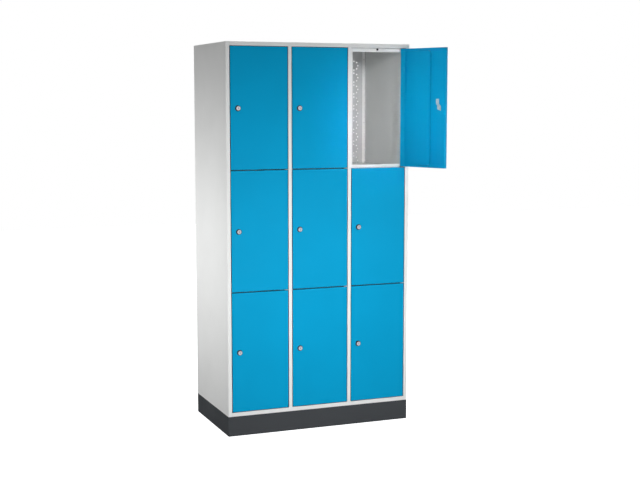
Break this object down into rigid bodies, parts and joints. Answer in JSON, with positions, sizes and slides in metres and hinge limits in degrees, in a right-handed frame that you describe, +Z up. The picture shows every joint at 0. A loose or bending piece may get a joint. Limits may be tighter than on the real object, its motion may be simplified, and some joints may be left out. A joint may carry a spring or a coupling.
{
  "type": "compartment locker",
  "caption": "Steel compartment locker: stacked hinged doors with cam locks, hollow front posts, shelves, vented back and a plinth; one door stands open.",
  "frame": {"origin": "centre of the plinth's footprint, on the floor", "axes": "+X to the right seen from the front, +Y to the back, +Z up; the doors face -Y"},
  "size_m": [1.0659, 0.8145, 1.95],
  "materials": {
    "body_paint": "satin",
    "door_paint": "satin",
    "plinth_paint": "matte",
    "nickel": "polished",
    "zinc": "satin",
    "rubber": "matte"
  },
  "bodies": {
    "carcass": {"left_side_panel": "body_paint", "right_side_panel": "body_paint", "left_partition": "body_paint", "right_partition": "body_paint", "back_panel": "body_paint", "top_panel": "body_paint", "bottom_panel": "body_paint", "shelves": "body_paint", "plinth": "plinth_paint", "levelling_feet": "zinc", "hinge_brackets": "body_paint", "hinge_pins": "zinc", "door_buffers": "rubber", "rivets": "zinc"},
    "door_left_bottom": {"door_left_bottom": "door_paint", "stiffener_left_bottom": "door_paint", "lock_housing_left_bottom": "nickel"},
    "lock_left_bottom": {"lock_plug_left_bottom": "nickel", "lock_cam_left_bottom": "zinc"},
    "door_left_middle": {"door_left_middle": "door_paint", "stiffener_left_middle": "door_paint", "lock_housing_left_middle": "nickel"},
    "lock_left_middle": {"lock_plug_left_middle": "nickel", "lock_cam_left_middle": "zinc"},
    "door_left_top": {"door_left_top": "door_paint", "stiffener_left_top": "door_paint", "lock_housing_left_top": "nickel"},
    "lock_left_top": {"lock_plug_left_top": "nickel", "lock_cam_left_top": "zinc"},
    "door_centre_bottom": {"door_centre_bottom": "door_paint", "stiffener_centre_bottom": "door_paint", "lock_housing_centre_bottom": "nickel"},
    "lock_centre_bottom": {"lock_plug_centre_bottom": "nickel", "lock_cam_centre_bottom": "zinc"},
    "door_centre_middle": {"door_centre_middle": "door_paint", "stiffener_centre_middle": "door_paint", "lock_housing_centre_middle": "nickel"},
    "lock_centre_middle": {"lock_plug_centre_middle": "nickel", "lock_cam_centre_middle": "zinc"},
    "door_centre_top": {"door_centre_top": "door_paint", "stiffener_centre_top": "door_paint", "lock_housing_centre_top": "nickel"},
    "lock_centre_top": {"lock_plug_centre_top": "nickel", "lock_cam_centre_top": "zinc"},
    "door_right_bottom": {"door_right_bottom": "door_paint", "stiffener_right_bottom": "door_paint", "lock_housing_right_bottom": "nickel"},
    "lock_right_bottom": {"lock_plug_right_bottom": "nickel", "lock_cam_right_bottom": "zinc"},
    "door_right_middle": {"door_right_middle": "door_paint", "stiffener_right_middle": "door_paint", "lock_housing_right_middle": "nickel"},
    "lock_right_middle": {"lock_plug_right_middle": "nickel", "lock_cam_right_middle": "zinc"},
    "door_right_top": {"door_right_top": "door_paint", "stiffener_right_top": "door_paint", "lock_housing_right_top": "nickel"},
    "lock_right_top": {"lock_plug_right_top": "nickel", "lock_cam_right_top": "zinc"}
  },
  "joints": [
    {"name": "door_left_bottom_hinge", "type": "hinge", "parent": "carcass", "child": "door_left_bottom", "pos_m": [-0.1805, -0.27, 0.42167], "axis": [0, 0, 1], "range_deg": [0, 115]},
    {"name": "lock_left_bottom_turn", "type": "hinge", "parent": "door_left_bottom", "child": "lock_left_bottom", "pos_m": [-0.4295, -0.27, 0.42167], "axis": [0, -1, 0], "range_deg": [0, 90]},
    {"name": "door_left_middle_hinge", "type": "hinge", "parent": "carcass", "child": "door_left_middle", "pos_m": [-0.1805, -0.27, 1.025], "axis": [0, 0, 1], "range_deg": [0, 115]},
    {"name": "lock_left_middle_turn", "type": "hinge", "parent": "door_left_middle", "child": "lock_left_middle", "pos_m": [-0.4295, -0.27, 1.025], "axis": [0, -1, 0], "range_deg": [0, 90]},
    {"name": "door_left_top_hinge", "type": "hinge", "parent": "carcass", "child": "door_left_top", "pos_m": [-0.1805, -0.27, 1.62833], "axis": [0, 0, 1], "range_deg": [0, 115]},
    {"name": "lock_left_top_turn", "type": "hinge", "parent": "door_left_top", "child": "lock_left_top", "pos_m": [-0.4295, -0.27, 1.62833], "axis": [0, -1, 0], "range_deg": [0, 90]},
    {"name": "door_centre_bottom_hinge", "type": "hinge", "parent": "carcass", "child": "door_centre_bottom", "pos_m": [0.1395, -0.27, 0.42167], "axis": [0, 0, 1], "range_deg": [0, 115]},
    {"name": "lock_centre_bottom_turn", "type": "hinge", "parent": "door_centre_bottom", "child": "lock_centre_bottom", "pos_m": [-0.1095, -0.27, 0.42167], "axis": [0, -1, 0], "range_deg": [0, 90]},
    {"name": "door_centre_middle_hinge", "type": "hinge", "parent": "carcass", "child": "door_centre_middle", "pos_m": [0.1395, -0.27, 1.025], "axis": [0, 0, 1], "range_deg": [0, 115]},
    {"name": "lock_centre_middle_turn", "type": "hinge", "parent": "door_centre_middle", "child": "lock_centre_middle", "pos_m": [-0.1095, -0.27, 1.025], "axis": [0, -1, 0], "range_deg": [0, 90]},
    {"name": "door_centre_top_hinge", "type": "hinge", "parent": "carcass", "child": "door_centre_top", "pos_m": [0.1395, -0.27, 1.62833], "axis": [0, 0, 1], "range_deg": [0, 115]},
    {"name": "lock_centre_top_turn", "type": "hinge", "parent": "door_centre_top", "child": "lock_centre_top", "pos_m": [-0.1095, -0.27, 1.62833], "axis": [0, -1, 0], "range_deg": [0, 90]},
    {"name": "door_right_bottom_hinge", "type": "hinge", "parent": "carcass", "child": "door_right_bottom", "pos_m": [0.4595, -0.27, 0.42167], "axis": [0, 0, 1], "range_deg": [0, 115]},
    {"name": "lock_right_bottom_turn", "type": "hinge", "parent": "door_right_bottom", "child": "lock_right_bottom", "pos_m": [0.2105, -0.27, 0.42167], "axis": [0, -1, 0], "range_deg": [0, 90]},
    {"name": "door_right_middle_hinge", "type": "hinge", "parent": "carcass", "child": "door_right_middle", "pos_m": [0.4595, -0.27, 1.025], "axis": [0, 0, 1], "range_deg": [0, 115]},
    {"name": "lock_right_middle_turn", "type": "hinge", "parent": "door_right_middle", "child": "lock_right_middle", "pos_m": [0.2105, -0.27, 1.025], "axis": [0, -1, 0], "range_deg": [0, 90]},
    {"name": "door_right_top_hinge", "type": "hinge", "parent": "carcass", "child": "door_right_top", "pos_m": [0.4595, -0.27, 1.62833], "axis": [0, 0, 1], "range_deg": [-113, 2]},
    {"name": "lock_right_top_turn", "type": "hinge", "parent": "door_right_top", "child": "lock_right_top", "pos_m": [0.55679, -0.49921, 1.62833], "axis": [0.9205, 0.3907, 0], "range_deg": [0, 90]}
  ]
}
